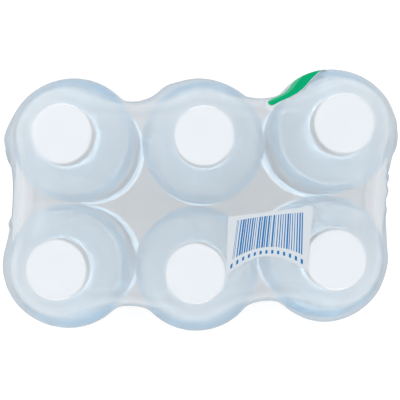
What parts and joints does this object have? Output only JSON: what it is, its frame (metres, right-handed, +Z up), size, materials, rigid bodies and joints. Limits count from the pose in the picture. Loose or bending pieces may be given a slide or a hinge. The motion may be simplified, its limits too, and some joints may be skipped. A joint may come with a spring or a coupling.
{
  "type": "shrink-wrapped pack of water bottles",
  "caption": "Shrink-wrapped pack of clear water bottles standing in rows, with white screw caps under one taut sleeve of clear film.",
  "frame": {"origin": "on the floor, under the middle of the pack", "axes": "+X along the rows of bottles, +Y from the front row to the back row, +Z up towards the caps"},
  "size_m": [0.2024, 0.1337, 0.2044],
  "materials": {
    "bottle": "thin clear plastic with a pale blue tint",
    "water": "still water",
    "cap": "white moulded plastic with a ribbed skirt",
    "label": "printed plastic label",
    "film": "clear shrink film, slightly hazy, with a printed panel"
  },
  "bodies": {
    "root": {"bottle_front_left": "bottle", "water_front_left": "water", "cap_front_left": "cap", "label_front_left": "label", "bottle_front_middle": "bottle", "water_front_middle": "water", "cap_front_middle": "cap", "label_front_middle": "label", "bottle_front_right": "bottle", "water_front_right": "water", "cap_front_right": "cap", "label_front_right": "label", "bottle_back_left": "bottle", "water_back_left": "water", "cap_back_left": "cap", "label_back_left": "label", "bottle_back_middle": "bottle", "water_back_middle": "water", "cap_back_middle": "cap", "label_back_middle": "label", "bottle_back_right": "bottle", "water_back_right": "water", "cap_back_right": "cap", "label_back_right": "label", "film": "film"}
  },
  "joints": []
}
